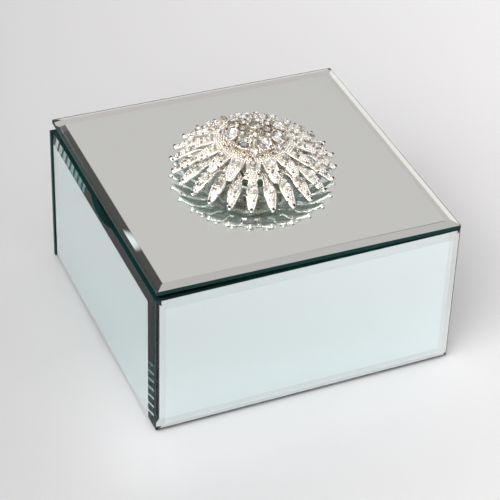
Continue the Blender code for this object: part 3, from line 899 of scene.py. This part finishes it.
def make_petal_tier():
    """The upper tier: a shallow dish that spreads into broad domed petals."""
    shape = Shape()
    dish(shape, [(3.2, 12.6), (11, 13.3), (13.6, 13.4), (14.2, 13.0), (13.6, 12.6), (11, 12.5),
                 (3.2, 11.8)])
    blades(shape, PETAL, PETALS)
    pave_blades(shape, PETAL, PETALS, 0.4, 4.1, pitch=0.84, stone=0.44, margin=0.05, dark=0.08)
    pave_blades(shape, PETAL, PETALS, 7.6, 13.2, pitch=0.84, stone=0.43, margin=0.15, dark=0.12)
    ring_of(shape, 10.6, 13.5, 64, stone=0.5, lean=0.1)
    ring_of(shape, 9.5, 13.4, 58, stone=0.5, lean=0.1, phase=0.5)
    set_blades(shape, PETAL, PETALS, along=5.8, stone=1.45)
    shape.piece("sunburst_petals", "lid", "rhodium_silver", BROOCH_LOOKS, ["brooch_petal_tier"],
                place=on_lid)


def make_crown():
    """The large crystals, the small stones set round them, and the plated castings under them."""
    for number, angle in enumerate((np.arange(CROWN) + 0.5) * TURN / CROWN, 1):
        shape = Shape()
        set_ring(shape, 9.8, 18.2, angle, lean=0.42, stone=2.9, prongs=4)
        shape.piece(f"crown_crystal_{number}", "lid", "crystal", BROOCH_LOOKS,
                    [f"crown_stone_{number}"], place=on_lid)
    shape = Shape()
    set_ring(shape, 0.0, 21.4, 0.0, lean=0.0, stone=3.3, prongs=6)
    shape.piece("centre_crystal", "lid", "crystal", BROOCH_LOOKS, ["centre_stone"], place=on_lid)

    shape = Shape()
    step = np.arange(CROWN) * TURN / CROWN
    set_ring(shape, 5.0, 20.2, step + TURN / 16, lean=0.25, stone=1.15, prongs=3)
    set_ring(shape, 12.9, 16.5, step, lean=0.8, stone=1.25, prongs=3)
    set_ring(shape, 7.2, 19.6, step, lean=0.3, stone=0.9, prongs=3)
    ring_of(shape, 12.5, 17.0, 72, stone=0.36, lean=0.9)
    shape.piece("crown_small_stones", "lid", "rhodium_silver", BROOCH_LOOKS, place=on_lid)
    dress(["brooch_foot", "brooch_crown_basket", "brooch_crown_plate"], BROOCH_LOOKS[PLATE], 0.0001)


# ---------------------------------------------------------------- studio

CAMERA = (0.5877, -0.2632, 0.5204)
AZIMUTH, ELEVATION, ROLL = np.radians((65.79, 37.38, -2.14))
LENS = 143.5

# Half the box's width and depth on the floor, and how far the light that its glass throws reaches.
HALF_WIDTH, HALF_DEPTH, GLOW = 0.06, 0.0625, 0.06
FLOOR_REACH = 12.0


def make_camera():
    """A long lens that looks down on the near corner of the box."""
    forward = Vector((-np.sin(AZIMUTH) * np.cos(ELEVATION), np.cos(AZIMUTH) * np.cos(ELEVATION),
                      -np.sin(ELEVATION)))
    level = forward.cross(Vector((0, 0, 1))).normalized()
    right = Matrix.Rotation(ROLL, 3, forward) @ level
    up = right.cross(forward)
    data = bpy.data.cameras.new("camera")
    data.lens, data.sensor_width = LENS, 36.0
    data.clip_start, data.clip_end = 0.01, 50.0
    camera = bpy.data.objects.new("camera", data)
    bpy.context.scene.collection.objects.link(camera)
    turn = Matrix((right, up, -forward)).transposed().to_4x4()
    camera.matrix_world = Matrix.Translation(CAMERA) @ turn
    bpy.context.scene.camera = camera


def beyond(coordinate, half):
    """How far a coordinate lies outside the box, and 0 inside it."""
    over = coordinate.math("ABSOLUTE", coordinate) - half
    return over.math("MAXIMUM", over, 0.0)


def make_floor():
    """A pale satin floor, coloured darker towards the front left as painted shade, and lighter beside
    the box's right face as painted light thrown by its glass.
    """
    look = Finish("pale_floor", roughness=0.22, specular_ior_level=0.4)
    x, y, _ = look.axes(look.coords())
    # Painted shade: the floor's colour darkens towards the front left.
    across = (x + y * 2.9 + 0.5).clamp()
    pale = look.blend(across, (0.50, 0.50, 0.505), (0.77, 0.765, 0.765))
    # Painted light: a pale pool beside the box's right face stands for light thrown by the glass.
    away_x, away_y = beyond(x, HALF_WIDTH), beyond(y, HALF_DEPTH)
    near = (1.0 - (away_x * away_x + away_y * away_y) ** 0.5 / GLOW).clamp()
    look.set("Base Color", look.blend(near * near * (x * 12.0).clamp(), pale, (0.82, 0.82, 0.83)))
    mesh = bpy.data.meshes.new("floor")
    square = [(-FLOOR_REACH, -FLOOR_REACH, 0), (FLOOR_REACH, -FLOOR_REACH, 0),
              (FLOOR_REACH, FLOOR_REACH, 0), (-FLOOR_REACH, FLOOR_REACH, 0)]
    mesh.from_pydata(square, [], [(0, 1, 2, 3)])
    mesh.materials.append(look.material)
    floor = bpy.data.objects.new("floor", mesh)
    bpy.context.scene.collection.objects.link(floor)


# Patches of the studio round the object: direction, half angle in degrees, tone, and the softness of
# the edge in degrees.
STUDIO = [
    ((0.50, -0.62, 0.60), 30, (4.0, 4.0, 4.0), 7),
    ((0.88, -0.42, 0.16), 12, (3.2, 3.2, 3.2), 4),
    ((-0.24, 0.35, 0.905), 17, (0.86, 0.85, 0.84), 4),
    ((-0.725, 0.327, 0.606), 24, (0.66, 0.585, 0.57), 10),
    ((-0.73, -0.15, 0.67), 12, (1.16, 1.12, 1.06), 4),
    ((-0.76, 0.535, 0.375), 9, (0.008, 0.010, 0.010), 3),
    ((-0.750, 0.529, 0.397), 0.25, (1.0, 1.0, 1.0), 0.25),
    ((0.7248, -0.3259, 0.6071), 7, (0.25, 0.25, 0.25), 4),
]


def make_studio():
    """A sky that darkens upwards, with the patches laid over it in turn. A patch is full inside its
    half angle less its softness, and gone outside the half angle plus its softness."""
    world = bpy.data.worlds.new("studio")
    world.use_nodes = True
    sky = Tree(world.node_tree)
    where = sky.add("TexCoord", out=0)
    height = sky.axes(where)[2]
    colour = sky.blend((height * 1.6).clamp(), (0.92, 0.92, 0.93), (0.58, 0.58, 0.59))
    for direction, reach, tone, soft in STUDIO:
        centre = tuple(Vector(direction).normalized())
        along = sky.add("VectorMath", {"operation": "DOT_PRODUCT"}, {0: where, 1: centre}, out=1)
        inner, outer = np.cos(np.radians(max(reach - soft, 0))), np.cos(np.radians(reach + soft))
        mask = sky.add("MapRange", {"interpolation_type": "SMOOTHSTEP"},
                       {"Value": along, "From Min": float(outer), "From Max": float(inner)})
        colour = sky.blend(mask, colour, tone)
    background = world.node_tree.nodes["Background"]
    plug(world.node_tree, background.inputs["Color"], colour)
    background.inputs["Strength"].default_value = 1.0
    bpy.context.scene.world = world


# Small lamps that give the stones their glints: direction from the box, distance, size and power.
LAMPS = [(0.1, -0.6, 0.8), (0.7, 0.5, 0.9), (-0.4, -0.7, 0.9), (0.3, 0.1, 1.0), (-0.1, 0.8, 0.7),
         (0.9, -0.9, 0.5)]
LAMP_DISTANCE, LAMP_SIZE, LAMP_POWER = 1.6, 0.1, 0.7


def make_lamps():
    for number, direction in enumerate(LAMPS):
        lamp = bpy.data.lights.new(f"lamp_{number}", "AREA")
        lamp.shape, lamp.size, lamp.energy = "DISK", LAMP_SIZE, LAMP_POWER
        thing = bpy.data.objects.new(lamp.name, lamp)
        direction = Vector(direction).normalized()
        thing.location = direction * LAMP_DISTANCE
        thing.rotation_euler = direction.to_track_quat("Z", "Y").to_euler()
        bpy.context.scene.collection.objects.link(thing)


make_camera()
make_box()
make_soft_goods()
make_bumpers()
make_screws()
make_ray_tier()
make_petal_tier()
make_crown()
make_floor()
make_studio()
make_lamps()

scene = bpy.context.scene
scene.view_settings.view_transform = "Standard"
scene.cycles.max_bounces = 24
scene.cycles.glossy_bounces = 16
scene.cycles.transmission_bounces = 16
